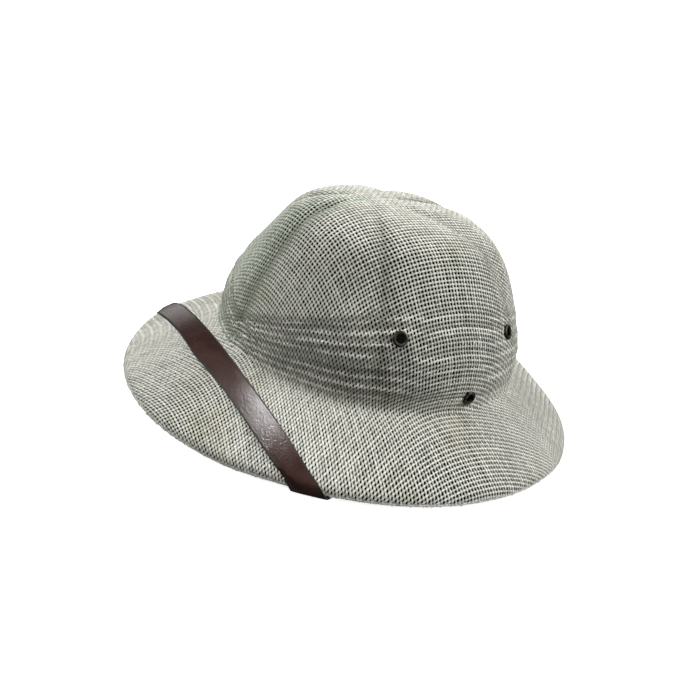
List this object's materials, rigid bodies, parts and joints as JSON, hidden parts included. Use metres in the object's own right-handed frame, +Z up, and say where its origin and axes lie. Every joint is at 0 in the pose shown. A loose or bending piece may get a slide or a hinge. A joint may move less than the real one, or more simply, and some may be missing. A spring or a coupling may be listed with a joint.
{
  "type": "straw sun helmet",
  "caption": "Moulded straw-mesh sun helmet with a domed, creased and pleated crown, a sloping oval brim, rolled vent eyelets and a leather chin strap worn over the front of the brim.",
  "frame": {"origin": "on the surface that the hat rests on, in the middle of the brim's length and width", "axes": "+Z up, -Y to the front of the hat, +X to the wearer's left"},
  "size_m": [0.3036, 0.34, 0.1553],
  "materials": {
    "straw": "bleached straw in an open plain weave, stiffened, with slubs and small square holes",
    "strap_leather": "dark brown leather with a soft sheen and burnished edges",
    "bronze": "dark bronzed metal, worn to a duller brown on the rolled rim"
  },
  "bodies": {
    "root": {"straw_shell": "straw", "chin_strap": "strap_leather", "eyelet_left_front": "bronze", "eyelet_left_low": "bronze", "eyelet_left_rear": "bronze", "eyelet_right_front": "bronze", "eyelet_right_low": "bronze", "eyelet_right_rear": "bronze", "strap_stud_left": "bronze", "strap_stud_right": "bronze"}
  },
  "joints": []
}
